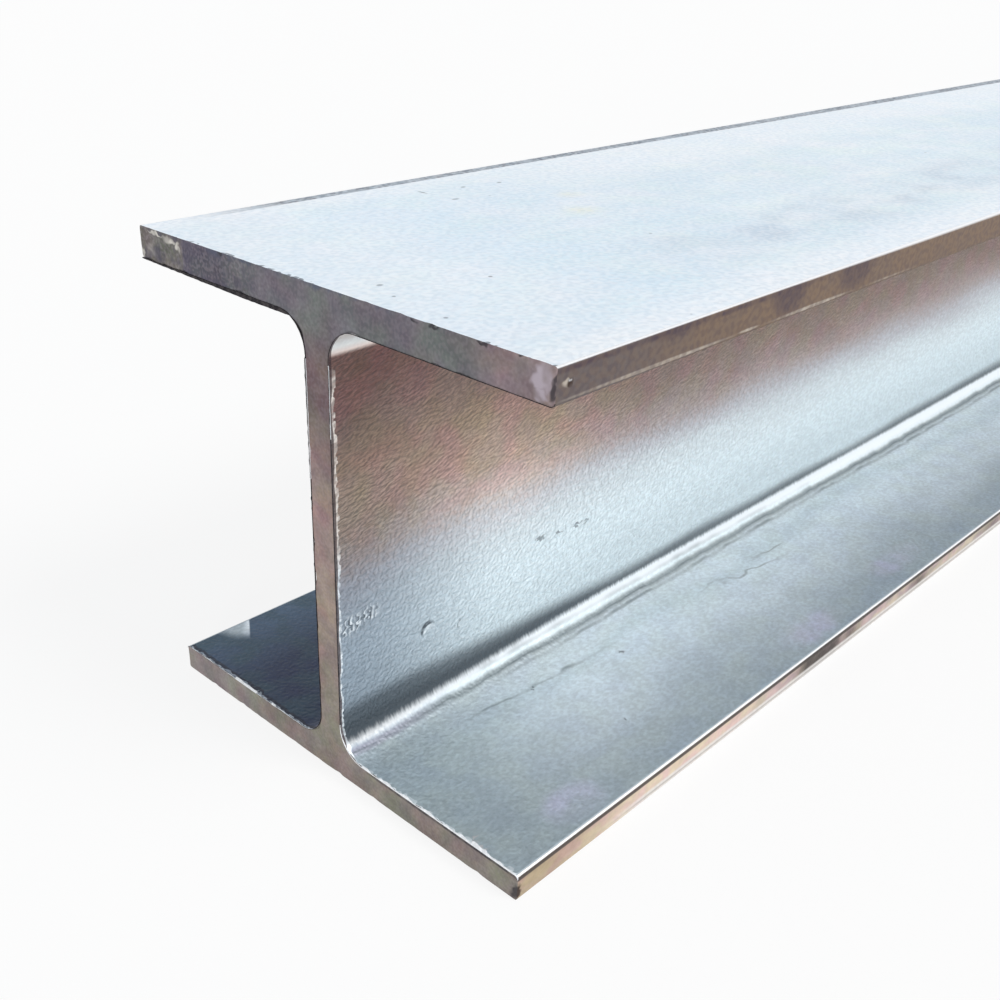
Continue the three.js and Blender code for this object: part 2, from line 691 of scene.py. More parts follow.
@dataclass(frozen=True)
class ChannelFinish(SteelFinish):
    """Web, roots and inner flange faces of one side: brown scale under the upper flange, darkened there
    partly by painted shade, silver below.
    """

    zone: Zone = Zone.RIGHT_CHANNEL
    # by height: darker and browner towards the top, partly painted shade under the upper flange
    web: tuple[Stop, ...] = (
        Stop(32, (0.71, 0.81, 0.86)),
        Stop(62, (0.77, 0.87, 0.92)),
        Stop(80, (0.77, 0.84, 0.88)),
        Stop(91, (0.76, 0.76, 0.79)),
        Stop(103, (0.75, 0.62, 0.565)),
        Stop(118, (0.585, 0.445, 0.36)),
        Stop(136, (0.405, 0.295, 0.235)),
        Stop(158, (0.212, 0.143, 0.124)),
        Stop(174, (0.155, 0.085, 0.075)),
    )
    # by distance from the middle
    flange: tuple[Stop, ...] = (
        Stop(20, (0.73, 0.82, 0.88)),
        Stop(30, (0.64, 0.74, 0.80)),
        Stop(40, (0.73, 0.83, 0.90)),
        Stop(60, (0.67, 0.77, 0.85)),
        Stop(84, (0.46, 0.55, 0.615)),
        Stop(100, (0.40, 0.49, 0.57)),
    )
    web_shade: Colour = (0.41, 0.44, 0.495)
    web_far: Colour = (0.58, 0.585, 0.63)
    mauve: Colour = (1.12, 0.90, 1.02)
    olive: Colour = (0.96, 1.00, 0.84)
    dusk: Colour = (0.84, 0.84, 0.88)
    flange_shade: Colour = (0.36, 0.44, 0.49)
    # dark slate for cracks, scrape beds, the dent and the dashes, and for the painted shade above the root
    # and behind the crest
    slate_and_shade: Colour = (0.05, 0.065, 0.08)
    violet: Colour = (0.60, 0.62, 0.80)
    moss: Colour = (0.56, 0.64, 0.54)
    # tones of the painted highlight of the lower root; they also lay the flakes, the scrape banks and the
    # crest
    polish_and_highlight: Colour = (0.49, 0.51, 0.53)
    far_polish_and_highlight: Colour = (0.84, 0.90, 0.95)
    lap: Colour = (0.125, 0.158, 0.172)
    violet_lap: Colour = (0.24, 0.23, 0.31)
    # the upper root's polish and its painted highlight
    upper_polish_and_highlight: Colour = (0.93, 0.92, 0.90)
    upper_rose: Colour = (0.80, 0.66, 0.61)
    rim: Colour = (0.05, 0.026, 0.030)
    rim_light: Colour = (0.86, 0.79, 0.74)
    gloss: float = 0.6
    shine_roughness: float = 0.36
    crest_shade: float = 0.0
    web_crest: float = 1.0
    # where the left flange's painted patch of light ends
    light_patch_end: float | None = None
    patch_and_light_share: tuple[float, float] = (0.2, 0.75)
    flange_near: float = 1.0
    smooth: float = 0.05
    rough: float = 0.24
    teal_share: float = 0.14

    # up the web
    scaled_from: Run = Run(92, 118)
    web_shaded_below: Run = Run(162, 100)
    web_far_above: Run = Run(70, 110)
    dimples: Run = Run(92, 118, 0.9, 0.35)

    # shade near the sawn end
    web_lift: Run = Run(0, 45, 6 * MM, 0.0)
    web_shaded: Run = Run(0, 105, 1.0, 0.0)
    web_far_from: Run = Run(70, 200)
    flange_shaded: Run = Run(5, 122, 1.0, 0.0)

    # painted shade above the lower root, a painted dark reflection, by distance round it
    above_root: Run = Run(0, -4)
    root_shade_haze: Run = Run(-50, -20)
    root_shade_top: Run = Run(0, 200, -24.8 * MM, -17.6 * MM)
    root_shade_bottom: Run = Run(20, 190, -14.8 * MM, -8.5 * MM)
    root_shade_depth: Run = Run(90, 260, 0.97, 0.85)

    # laps rolled into the flange side of the root, by distance round it
    lap_shift: Run = Run(300, 450, 0.0, 1.3 * MM)
    lap_strength: Run = Run(50, 150, 0.10, 0.75)
    lap_tone: Run = Run(20, 60)
    shade_band: Band = Band(7.8, 3.0, 2.0)
    groove: Band = Band(3.8, 2.4, 1.8)
    groove_strength: Run = Run(30, 120, 0.66, 0.70)
    groove_line: Band = Band(4.3, 0.5, 0.4)
    second_lap: Band = Band(8.8, 1.1, 0.9)
    third_lap: Band = Band(17.4, 0.8, 0.8)
    third_slope: float = 0.055
    third_rise: Run = Run(45, 75)
    third_fall: Run = Run(170, 110)

    # the bright line between them: a painted highlight, with more gloss there too
    rise_from: Run = Run(0, 160, -6.2 * MM, -9.0 * MM)
    rise_to: Run = Run(20, 190, -0.7 * MM, -5.9 * MM)
    rise_torn: Run = Run(20, 80, 4.4 * MM, 2.6 * MM)
    fall_from: Run = Run(35, 80, -2.0 * MM, -5.2 * MM)
    fall_to: Run = Run(35, 80, 2.5 * MM, 0.5 * MM)
    fall_torn: Run = Run(20, 70, 3.2 * MM, 0.0)
    fall_shift: Run = Run(200, 450, 0.0, 2.0 * MM)
    highlight_tone: Run = Run(0, 90)
    polished: Band = Band(-2.5, 5.0, 2.0)

    # the upper root: polished steel with a painted highlight, by distance round it
    upper_shine: Run = Run(-11.5, -9)
    upper_shine_until: Run = Run(200, 80)
    upper_pales: Run = Run(-11, -5.5)

    # the torn rim of the sawn end
    on_flange: Run = Run(-6, 0)
    crest_fuller: Run = Run(70, 110, 0.6, 1.0)
    crest_by_root: Run = Run(4.5, 0.5)
    crest_until: Run = Run(174, 168)
    crest_pales: Run = Run(108, 90)
    crest_shadow: Band = Band(0.9, 0.8, 0.4)

    scraped: tuple[Mark, ...] = (
        Mark((6, 7.5, 70.0), (4, 8.0, 5.0)),
        Mark((6, 17.0, 71.8), (4, 5.6, 4.2)),
        Mark((6, 66.5, 45.2), (4, 2.4, 2.6)),
    )
    # a dent drawn only in paint: a painted shade crescent with a painted highlight crescent beside it
    dent: tuple[Mark, Mark] = (Mark((6, 48.6, 50.3), (4, 5.2, 4.8)), Mark((6, 49.7, 48.5), (4, 5.2, 4.8)))
    hollow: tuple[Mark, Mark] = (Mark((6, 49.6, 48.7), (4, 4.4, 4.2)), Mark((6, 50.4, 47.2), (4, 4.4, 4.2)))
    relief: Run = Run(-20, 0, 0.40 * MM, 0.14 * MM)
    flange_from: Run = Run(0, 5)
    cracked: tuple[Mark, ...] = (
        Mark((38, 250, 12), (16, 36, 4)),
        Mark((36, 280, 12), (14, 17, 4)),
    )
    cracks: tuple[Band, ...] = (Band(-2.0, 0.7, 0.6), Band(-10.5, 0.7, 0.6))
    dashes: tuple[Mark, ...] = (
        Mark((6, 117.5, 67.4), (3, 3.2, 1.1)),
        Mark((6, 130.7, 65.6), (3, 3.0, 1.1)),
        Mark((6, 144.1, 65.5), (3, 3.2, 1.0)),
        Mark((6, 150.3, 64.8), (3, 2.4, 1.0)),
        Mark((38.5, 142, 12), (1.7, 1.6, 3)),
        Mark((30, 90, 12), (1.4, 1.3, 3)),
        Mark((71.5, 102, 12), (1.4, 1.3, 3)),
    )
    tint_and_light_patches: tuple[Mark, ...] = (
        Mark((90, 46, 12), (11, 17, 6)),
        Mark((90, 226, 12), (10, 28, 6)),
        Mark((86, 322, 12), (9, 30, 6)),
    )
    flakes: tuple[Mark, ...] = (
        Mark((77.8, 3.0, 12), (0.8, 4.5, 3)),
        Mark((82, 1.5, 12), (3.5, 1.6, 3)),
    )

    def survey(self, face: Face) -> ChannelMap:
        """Work out where the surface lies, and place the mottles."""
        tree, section = face.tree, face.section
        x, _, z = tree.split(face.where)
        lower, upper = face.pattern(
            Effect.ROOT_DISTANCE, Half_Web=section.web / 2, Flange=section.flange, Depth=section.depth
        )
        bristle = tree.noise(tree.vector("MULTIPLY", face.where, (0.2, 1.0, 0.2)), 1000.0, 1.0)
        return ChannelMap(
            x, z, lower, upper,
            broad=face.pattern(Effect.CLOUDS, Scale=16.0, Draw_Out=3.0, Seed=11.0)[0],
            flecks=face.pattern(Effect.FLECKS, Size=0.015, Draw_Out=1.2, Seed=12.0),
            fine=face.pattern(Effect.FLECKS, Size=0.0019, Draw_Out=1.4, Detail=0.0, Seed=13.0),
            torn=tree.minus(bristle.outputs["Fac"], 0.5),
        )

    def web_coats(self, face: Face, on: ChannelMap) -> Socket:
        """Lay the colour of the web, brown scale with painted shade towards the top, and give a mask of the
        scale on its upper part.
        """
        tree, (warm, cool, shade) = face.tree, on.flecks
        wander = tree.plus(tree.sway(on.broad, 9 * MM), tree.sway(on.fine[2], 3 * MM))
        level = tree.plus(on.z, wander, face.along(self.web_lift))
        face.colour = tree.ramp(level, self.web)
        scaled = face.over(level, self.scaled_from)
        face.tint(self.mauve, cool, 0.65, scaled)
        face.tint(self.olive, shade, 0.65, scaled)
        face.tint(self.dusk, warm, 0.5, scaled)
        face.tint(self.web_shade, face.along(self.web_shaded), face.over(level, self.web_shaded_below))
        face.tint(self.web_far, face.along(self.web_far_from), face.over(level, self.web_far_above))
        return scaled

    def flange_coats(self, face: Face, on: ChannelMap) -> Socket:
        """Lay the colour of the inner face of the lower flange, and give a mask of the tint patches, which
        on the left is a painted patch of light.
        """
        tree, (warm, cool, shade) = face.tree, on.flecks
        away = tree.size(on.x)
        swayed = tree.plus(away, tree.sway(on.broad, 20 * MM))
        face.colour = tree.ramp(swayed, self.flange)
        shaded = face.over(swayed, Run(12, 45, 0.80, self.flange_near))
        face.lay(self.flange_shade, face.along(self.flange_shaded), shaded)
        patch_and_light = tree.times(face.marks(self.tint_and_light_patches), tree.lerp(cool, *self.patch_and_light_share))
        # on the left the painted patch of light ends sharply towards the sawn end
        if self.light_patch_end:
            cut = tree.plus(face.inwards, tree.times(tree.plus(on.x, 0.089), 0.7))
            cut = tree.spread(cut, self.light_patch_end, self.light_patch_end - 1 * MM)
            patch_and_light = tree.math("MULTIPLY", patch_and_light, cut, clamp=True)
        face.lay(self.violet, patch_and_light)
        face.lay(self.moss, warm, self.teal_share)
        # thin cracks that wander out from the root as they run inwards
        path = tree.minus(away, tree.times(face.inwards, 0.17))
        path = tree.plus(path, tree.times(tree.plus(cool, warm), 0.0035))
        for mark, crack in zip(self.cracked, self.cracks):
            face.lay(self.slate_and_shade, face.band(path, crack), face.marks((mark,)), tree.lerp(shade, 0.45, 0.2))
        face.tint(self.dusk, shade, 0.40)
        return patch_and_light

    def crescent(self, face: Face, marks: tuple[Mark, Mark], uneven: Socket) -> Socket:
        """Mask of what the first of two marks shows past the second, uneven in strength."""
        whole, gap = (face.tree.spread(face.marks((mark,)), 0.3, 0.7) for mark in marks)
        return face.tree.times(face.tree.math("SUBTRACT", whole, gap, clamp=True), uneven)

    def damage(self, face: Face, on: ChannelMap, shaken: Socket) -> None:
        """Lay the scrapes, the dent and the dashes."""
        tree, fine = face.tree, on.fine[0]
        _, y, z = tree.split(shaken)
        patch = tree.times(face.marks(self.scraped), tree.lerp(fine, 0.6, 1.0))
        bed, bank = face.shop.place(tree, Effect.SCRAPES, Along=y, Up=z)
        uneven = tree.lerp(fine, 0.6, 1.2)
        # the dent's painted shade (dark crescent) and painted highlight (bright crescent)
        bed = tree.most(tree.times(bed, patch), self.crescent(face, self.dent, uneven))
        bank = tree.most(tree.times(bank, patch), self.crescent(face, self.hollow, uneven))
        face.lay(self.far_polish_and_highlight, bank, 0.95)
        face.lay(self.slate_and_shade, bed, 0.8)
        face.lay(self.slate_and_shade, face.marks(self.dashes, shaken), 0.62)

    def painted_root_shade(self, face: Face, on: ChannelMap) -> None:
        """Lay the painted shade above the lower root, a painted dark reflection, deeper near the sawn end.
        """
        tree = face.tree
        soft = tree.plus(on.lower, tree.sway(on.broad, 3 * MM))
        above = face.over(on.lower, self.above_root)
        slate_and_shade = tree.spread(soft, face.along(self.root_shade_top), face.along(self.root_shade_bottom))
        depth = tree.spread(on.lower, -15 * MM, -9.5 * MM, 0.83, face.along(self.root_shade_depth))
        face.lay(self.slate_and_shade, slate_and_shade, above, depth)
        face.lay(self.slate_and_shade, face.over(soft, self.root_shade_haze), above, 0.12)

    def root_coats(self, face: Face, on: ChannelMap) -> Socket:
        """Lay the laps and the bright line of the lower root, a painted highlight with real gloss, and give
        a mask of the line.
        """
        tree, mottle = face.tree, on.flecks[2]
        wiggle = tree.times(tree.minus(tree.plus(on.broad, mottle), 1.0), 1.1 * MM)
        wander = tree.plus(on.lower, wiggle)
        past = tree.minus(wander, face.along(self.lap_shift))
        strength = face.along(self.lap_strength)
        groove_tone = tree.mix(face.along(self.lap_tone), self.violet_lap, self.lap)
        face.lay(self.lap, face.band(past, self.shade_band), strength, 0.26)
        face.lay(groove_tone, face.band(past, self.groove), face.along(self.groove_strength))
        face.lay(self.lap, face.band(past, self.groove_line), tree.lerp(mottle, 0.2, 0.6))
        face.lay(self.lap, face.band(past, self.second_lap), strength, tree.lerp(mottle, 0.3, 0.8))
        # a third one parts from them near the sawn end
        third = tree.minus(tree.plus(wander, wiggle), tree.times(face.inwards, self.third_slope))
        ends = tree.times(face.along(self.third_rise), face.along(self.third_fall))
        face.lay(self.lap, face.band(third, self.third_lap), ends, tree.lerp(mottle, 0.25, 0.75))

        ragged = tree.plus(on.lower, tree.times(on.torn, face.along(self.rise_torn)))
        rise = tree.spread(ragged, face.along(self.rise_from), face.along(self.rise_to))
        frayed = tree.times(on.torn, face.along(self.fall_torn))
        frayed = tree.plus(frayed, tree.minus(past, face.along(self.fall_shift)))
        fall = tree.spread(frayed, face.along(self.fall_from), face.along(self.fall_to), 1.0, 0.0)
        shine = tree.times(rise, fall)
        # the painted highlight along the lower root, duller near the sawn end
        face.lay(tree.mix(face.along(self.highlight_tone), self.polish_and_highlight, self.far_polish_and_highlight), shine)
        return shine

    def rim_coats(self, face: Face, on: ChannelMap) -> None:
        """Lay the torn edge of the sawn end: dark at the cut, then a bright crest."""
        tree, fine, mottle = face.tree, on.fine, on.flecks[1]
        on_flange = face.over(on.lower, self.on_flange)
        ragged = tree.plus(face.inwards, tree.sway(tree.lerp(on_flange, mottle, fine[2]), 0.6 * MM))
        dark_width = tree.lerp(on_flange, 1.2 * MM, 0.3 * MM)
        on_web = tree.times(tree.lerp(fine[0], 1.5 * MM, 0.6 * MM), face.over(on.z, self.crest_fuller))
        chips = tree.times(tree.spread(mottle, 0.3, 0.8), fine[1])
        crest_width = tree.lerp(on_flange, on_web, tree.lerp(chips, 0.6 * MM, 1.7 * MM))
        by_root = face.over(tree.size(tree.plus(on.lower, 1 * MM)), self.crest_by_root)
        full = tree.plus(dark_width, crest_width, tree.times(by_root, 1.4 * MM))
        crest = tree.spread(ragged, tree.plus(full, 0.3 * MM), full)
        crest = tree.times(crest, face.over(on.z, self.crest_until))
        crest = tree.times(crest, tree.lerp(on_flange, self.web_crest, 1.0))
        crest_tone = tree.mix(face.over(on.z, self.crest_pales), self.rim_light, self.far_polish_and_highlight)
        face.lay(crest_tone, crest, tree.lerp(fine[1], 0.95, 0.4))
        face.lay(self.rim, tree.spread(ragged, tree.plus(dark_width, 0.2 * MM), dark_width), 0.85)
        if self.crest_shade:
            # the crest's own shade falls inwards of it
            shade = face.band(tree.minus(ragged, full), self.crest_shadow)
            face.lay(self.slate_and_shade, shade, on_flange, self.crest_shade)

    def dress(self, face: Face) -> Look:
        """Lay the coats of the channel."""
        tree = face.tree
        on = self.survey(face)
        scaled = self.web_coats(face, on)
        web = face.colour
        patch_and_light = self.flange_coats(face, on)
        face.colour = tree.mix(face.over(on.lower, self.flange_from), web, face.colour)
        # painted light and shade of the ripples: lighter where the relief faces up, darker where it faces
        # down, strongest on the scale
        dimples = face.over(on.z, self.dimples)
        height, painted_flank_light = face.pattern(Effect.SKIN, Dimples=dimples)
        wrinkled = tree.times(scaled, tree.lerp(on.flecks[0], 1.0, 0.55))
        low = tree.lerp(wrinkled, 1.0 - self.smooth, 1.0 - self.rough)
        high = tree.lerp(wrinkled, 1.0 + self.smooth, 1.0 + self.rough)
        face.tint(tree.times(tree.lerp(on.fine[1], 0.95, 1.05), tree.lerp(painted_flank_light, low, high)), 1.0)
        shaken = face.shaken(on.fine, 1.6 * MM)
        self.damage(face, on, shaken)
        # painted shade above the lower root
        self.painted_root_shade(face, on)
        shine = self.root_coats(face, on)
        # a painted highlight along the upper root, near the sawn end
        upper_shine = tree.times(face.over(on.upper, self.upper_shine), face.along(self.upper_shine_until))
        upper_tone = tree.mix(face.over(on.upper, self.upper_pales), self.upper_rose, self.upper_polish_and_highlight)
        face.lay(upper_tone, upper_shine)
        face.lay(self.polish_and_highlight, face.marks(self.flakes, shaken))
        self.rim_coats(face, on)

        bright = tree.most(shine, upper_shine)
        # the painted patch of light is glossy as well
        if self.light_patch_end:
            bright = tree.most(bright, patch_and_light)
        # the relief is kept to few nodes, as bump works it out three times over
        smooth = tree.most(face.band(on.lower, self.polished), upper_shine)
        depth = face.over(on.lower, self.relief)
        return Look(
            roughness=tree.lerp(bright, 0.5, self.shine_roughness),
            height=tree.times(height, depth, tree.minus(1.0, tree.times(smooth, 0.85))),
            metallic=tree.lerp(bright, self.metallic, self.gloss),
        )


@dataclass(frozen=True)
class TipFinish(SteelFinish):
    """Flange tips: scaled brown steel with a bright line along the toe and heel, worn steel with a painted
    highlight, and a painted shadow under the lower toe.
    """

    zone: Zone = Zone.TIPS
    tan: Colour = (0.182, 0.121, 0.080)
    grey: Colour = (0.122, 0.098, 0.095)
    plum: Colour = (0.062, 0.040, 0.054)
    sand: Colour = (0.71, 0.60, 0.45)
    rose: Colour = (0.72, 0.53, 0.49)
    umber: Colour = (0.045, 0.035, 0.032)
    burnt: Colour = (0.032, 0.014, 0.008)
    end_tone: Colour = (0.64, 0.60, 0.52)
    dusk: Colour = (0.62, 0.66, 0.74)
    bare: Colour = (0.74, 0.72, 0.70)
    cream: Colour = (0.44, 0.385, 0.33)
    worn_and_highlight: Colour = (0.90, 0.92, 0.95)
    flange: Colour = (0.50, 0.59, 0.66)
    metallic: float = 0.25
    relief: float = 0.06 * MM

    # upper tips
    tan_from: Run = Run(20, 80)
    top_line: Band = Band(1.6, 0.8, 0.6)
    top_line_until: Run = Run(180, 100)
    heel_reach: Run = Run(80, 250, 0.7 * MM, 1.6 * MM)

    # lower tips
    end_toned: Run = Run(15, 75, 1.0, 0.0)
    dusky_from: Run = Run(130, 190)
    bare_from: Run = Run(45, 85, 0.05, 0.85)
    bare_strip: Run = Run(5, 3.6)
    flange_past: Run = Run(0.7, 1.1)
    bottom_line: Band = Band(2.2, 0.5, 0.5)
    toe_shadow: Band = Band(-1.5, 1.1, 0.4)
    toe_highlight: Band = Band(0.2, 0.6, 0.3)

    dark_parts: tuple[Mark, ...] = (
        Mark((102, 217, 6), (5, 26, 11)),
        Mark((102, 246, 6), (5, 18, 9), 0.85),
        Mark((102, 322, 6), (5, 20, 9), 0.85),
        Mark((102, 418, 6), (5, 24, 9), 0.75),
    )
    notch: tuple[Mark, ...] = (Mark((102, 0.0, 3.6), (5, 2.6, 4.6)),)
    hanging: tuple[Mark, ...] = (
        Mark((102, 57, 201), (5, 16, 6.0)),
        Mark((102, 122, 198), (5, 13, 10)),
        Mark((102, 168, 198), (5, 15, 9)),
    )
    creamy: tuple[Mark, ...] = (
        Mark((102, 46, 189.6), (4, 46, 0.75)),
        Mark((102, 98, 189.8), (4, 7, 0.55)),
        Mark((102, 138, 189.6), (4, 30, 0.75)),
        Mark((102, 196, 189.6), (4, 26, 0.6), 0.7),
    )
    blob: tuple[Mark, ...] = (Mark((102, 5.2, 194.6), (3, 2.3, 1.8)),)
    glint: tuple[Mark, ...] = (Mark((102, 6.2, 195.4), (3, 0.6, 0.5), 0.6),)

    def upper_coats(self, face: Face, shaken: Socket, from_outer: Socket, flecks: list[Socket]) -> None:
        """Lay the colour of an upper tip: tan with plum patches that hang from the top edge, and a painted
        highlight along its toe.

        Args:
            face: The tips.
            shaken: Their coordinates, shaken.
            from_outer: Distance below the top edge.
            flecks: Three small mottles.
        """
        tree, (warm, cool, _) = face.tree, flecks
        face.colour = self.grey
        face.lay(self.tan, face.along(self.tan_from))
        face.lay(self.grey, warm, 0.25)
        face.lay(self.plum, face.marks(self.hanging, shaken), 0.74)
        line = tree.times(face.band(from_outer, self.top_line), face.along(self.top_line_until))
        face.lay(self.plum, line, tree.lerp(cool, 0.45, 1.0))
        # painted highlight: broken cream lines along the toe, a painted reflection of the floor
        face.lay(self.cream, face.marks(self.creamy), tree.lerp(cool, 1.0, 0.6))

    def lower_coats(self, face: Face, shaken: Socket, from_outer: Socket, flecks: list[Socket]) -> None:
        """Lay the colour of a lower tip: sand and rose, dark in places, bare along the bottom.

        Args:
            face: The tips.
            shaken: Their coordinates, shaken.
            from_outer: Distance above the bottom edge.
            flecks: Three small mottles.
        """
        tree, (warm, cool, shade) = face.tree, flecks
        face.colour = self.sand
        face.lay(self.rose, warm)
        face.lay(self.tan, cool, 0.12)
        face.tint(self.end_tone, face.along(self.end_toned))
        face.tint(self.dusk, face.along(self.dusky_from), tree.lerp(shade, 0.5, 1.0))
        face.lay(self.umber, face.marks(self.dark_parts, shaken), tree.lerp(shade, 0.97, 0.85))
        bared = face.along(self.bare_from)
        face.lay(self.bare, face.over(from_outer, self.bare_strip), bared)
        face.lay(self.grey, face.band(from_outer, self.bottom_line), bared, 0.5)
        face.lay(self.burnt, face.marks(self.notch, shaken))

    def dress(self, face: Face) -> Look:
        """Lay the coats of the tips."""
        tree, section = face.tree, face.section
        x, _, z = tree.split(face.where)
        is_upper = tree.math("GREATER_THAN", z, section.depth / 2)
        is_lower = tree.minus(1.0, is_upper)
        from_outer = tree.lerp(is_upper, z, tree.minus(section.depth, z))
        from_tip = tree.minus(section.width / 2, tree.size(x))
        # round the toe: negative on the tip, positive on the inner face
        round_toe = tree.minus(from_tip, tree.minus(section.flange, from_outer))
        flecks = face.pattern(Effect.FLECKS, Size=0.006, Draw_Out=1.8, Seed=22.0)
        grain = face.pattern(Effect.FLECKS, Size=0.0018, Draw_Out=1.3, Detail=0.0, Seed=24.0)
        shaken = face.shaken(grain, 1 * MM)
        self.upper_coats(face, shaken, from_outer, flecks)
        upper = face.colour
        self.lower_coats(face, shaken, from_outer, flecks)
        face.lay(upper, is_upper)
        face.lay(self.plum, grain[0], tree.lerp(is_upper, 0.06, 0.35))
        face.lay(self.tan, grain[1], tree.lerp(is_upper, 0.0, 0.25))
        # painted shadow under the lower toe
        face.lay(self.umber, face.band(round_toe, self.toe_shadow), is_lower, 0.94)
        face.lay(tree.mix(grain[2], self.cream, self.burnt), face.marks(self.blob, shaken))
        # painted highlights: a glint on the knob, and a bright line along the heel of an upper tip and the
        # toe of a lower tip, where the steel is also worn
        face.lay(self.worn_and_highlight, face.marks(self.glint, shaken))
        heel = tree.times(tree.spread(from_outer, face.along(self.heel_reach), 0.3 * MM), is_upper)
        toe = tree.times(face.band(round_toe, self.toe_highlight), is_lower)
        bright = tree.most(toe, tree.times(heel, 0.85))
        face.lay(self.worn_and_highlight, bright)
        # past the bright line a lower toe is as grey as the flange beside it
        face.lay(self.flange, face.over(round_toe, self.flange_past), is_lower)
        height = tree.times(face.pattern(Effect.GRAIN)[0], self.relief)
        return Look(roughness=tree.lerp(bright, 0.62, 0.4), height=height)


@dataclass(frozen=True)
class SawnFinish(SteelFinish):
    """Sawn end: dull oxidised cut with a fine grain and scuffed tips."""

    zone: Zone = Zone.ENDS
    grey: Colour = (0.140, 0.142, 0.160)
    plum: Colour = (0.050, 0.044, 0.085)
    olive: Colour = (0.142, 0.136, 0.116)
    cream: Colour = (0.60, 0.57, 0.52)
    # by height, on the web and the lower flange
    cut: tuple[Stop, ...] = (
        Stop(10, (0.245, 0.218, 0.186)),
        Stop(34, (0.265, 0.218, 0.190)),
        Stop(82, (0.335, 0.262, 0.215)),
        Stop(120, (0.330, 0.242, 0.220)),
        Stop(162, (0.155, 0.110, 0.110)),
    )
    rose: Colour = (1.22, 0.92, 1.0)
    moss: Colour = (0.92, 1.08, 0.86)
    dusk: Colour = (0.66, 0.62, 0.72)
    chalk: Colour = (1.30, 1.30, 1.24)
    blue_wear: Colour = (1.16, 1.18, 1.28)
    umber: Colour = (0.085, 0.062, 0.068)
    lilac: Colour = (0.42, 0.36, 0.41)
    pink: Colour = (0.265, 0.195, 0.205)
    ink: Colour = (0.014, 0.011, 0.018)
    steel_blue: Colour = (0.055, 0.075, 0.13)
    metallic: float = 0.25
    relief: float = 0.03 * MM
    # parts of the cut, by distance across and by height
    blue_side: Run = Run(-35, -65)
    blue_foot: Run = Run(20, 13)
    plum_from: Run = Run(-75.2, -73.5)
    plum_until: Run = Run(-34, -52)
    olive_past: Run = Run(-74.2, -75.2)
    pink_past: Run = Run(66, 84)
    upper_from: Run = Run(170, 188)
    speckled_side: Run = Run(-15, -50)
    under_edge: Band = Band(11.1, 0.7, 0.3)
    under_edge_from: Run = Run(18, 26)
    pale_marks: tuple[Mark, ...] = (
        Mark((-91, 0, 198.2), (5.0, 5, 0.9)),
        Mark((-84.0, 0, 197.0), (3.8, 5, 1.7)),
        Mark((-80.5, 0, 197.6), (2.6, 5, 1.2)),
        Mark((-77.3, 0, 196), (1.1, 5, 2.8)),
        Mark((-95, 0, 192), (4, 5, 3.0), 0.5),
        Mark((-101, 0, 189.8), (1.2, 5, 2.2)),
        Mark((97.3, 0, 195), (4.8, 5, 4.8)),
        Mark((97, 0, 190.5), (3.8, 5, 2.7)),
    )
    blued: tuple[Mark, ...] = (
        Mark((8, 0, 200.4), (42, 5, 2.2), 0.85),
        Mark((-46, 0, 200.4), (20, 5, 2.2), 0.85),
        Mark((22, 0, 6), (9, 5, 7), 0.3),
        Mark((44, 0, 6), (9, 5, 8), 0.3),
    )
    dark_marks: tuple[Mark, ...] = (
        Mark((-84, 0, 193.0), (3.5, 5, 3.5), 0.5),
        Mark((-51, 0, 200), (3.0, 5, 1.0)),
        Mark((-30, 0, 200), (1.6, 5, 0.6)),
        Mark((6, 0, 200), (1.5, 5, 0.5)),
        Mark((17, 0, 200), (3.0, 5, 0.5)),
        Mark((46, 0, 200), (2.6, 5, 0.8)),
        Mark((55, 0, 200), (2.2, 5, 0.7)),
        Mark((74, 0, 200), (2.0, 5, 0.8)),
        Mark((90, 0, 200), (1.6, 5, 0.7)),
        Mark((102.0, 0, 195), (1.3, 5, 6.5)),
        Mark((101.6, 0, 4.0), (2.4, 5, 4.6)),
    )

    def cut_coats(self, face: Face, x: Socket, z: Socket, mottle: Socket) -> Socket:
        """Lay the tones of the cut, and give a mask of the upper flange.

        Args:
            face: The sawn end.
            x: Distance across from the middle.
            z: Height.
            mottle: A small mottle.

        Returns:
            The mask.
        """
        tree = face.tree
        face.colour = tree.ramp(z, self.cut)
        face.tint(self.blue_wear, face.over(x, self.blue_side), face.over(z, self.blue_foot))
        lower = face.colour
        face.colour = self.grey
        dark_patch = tree.times(face.over(x, self.plum_from), face.over(x, self.plum_until))
        face.lay(self.plum, dark_patch, tree.lerp(mottle, 0.7, 0.35))
        face.lay(self.olive, face.over(x, self.olive_past), 0.85)
        face.lay(self.pink, face.over(x, self.pink_past), 0.8)
        on_upper = face.over(z, self.upper_from)
        face.colour = tree.mix(on_upper, lower, face.colour)
        return on_upper

    def dress(self, face: Face) -> Look:
        """Lay the coats of the sawn ends."""
        tree = face.tree
        x, _, z = tree.split(face.where)
        warm, cool, shade = face.pattern(Effect.FLECKS, Size=0.014, Draw_Out=1.0, Seed=31.0)
        small = face.pattern(Effect.FLECKS, Size=0.0046, Draw_Out=1.0, Seed=32.0)
        grain = face.pattern(Effect.FLECKS, Size=0.0012, Draw_Out=1.0, Detail=0.0, Seed=33.0)
        shaken = face.shaken(small, 2 * MM)
        on_upper = self.cut_coats(face, x, z, small[2])
        face.tint(self.rose, warm, 0.55)
        face.tint(self.moss, cool, 0.8)
        face.tint(self.dusk, shade, 0.45)
        face.tint(self.chalk, small[0], 0.4)
        face.tint(self.dusk, small[1], 0.35)
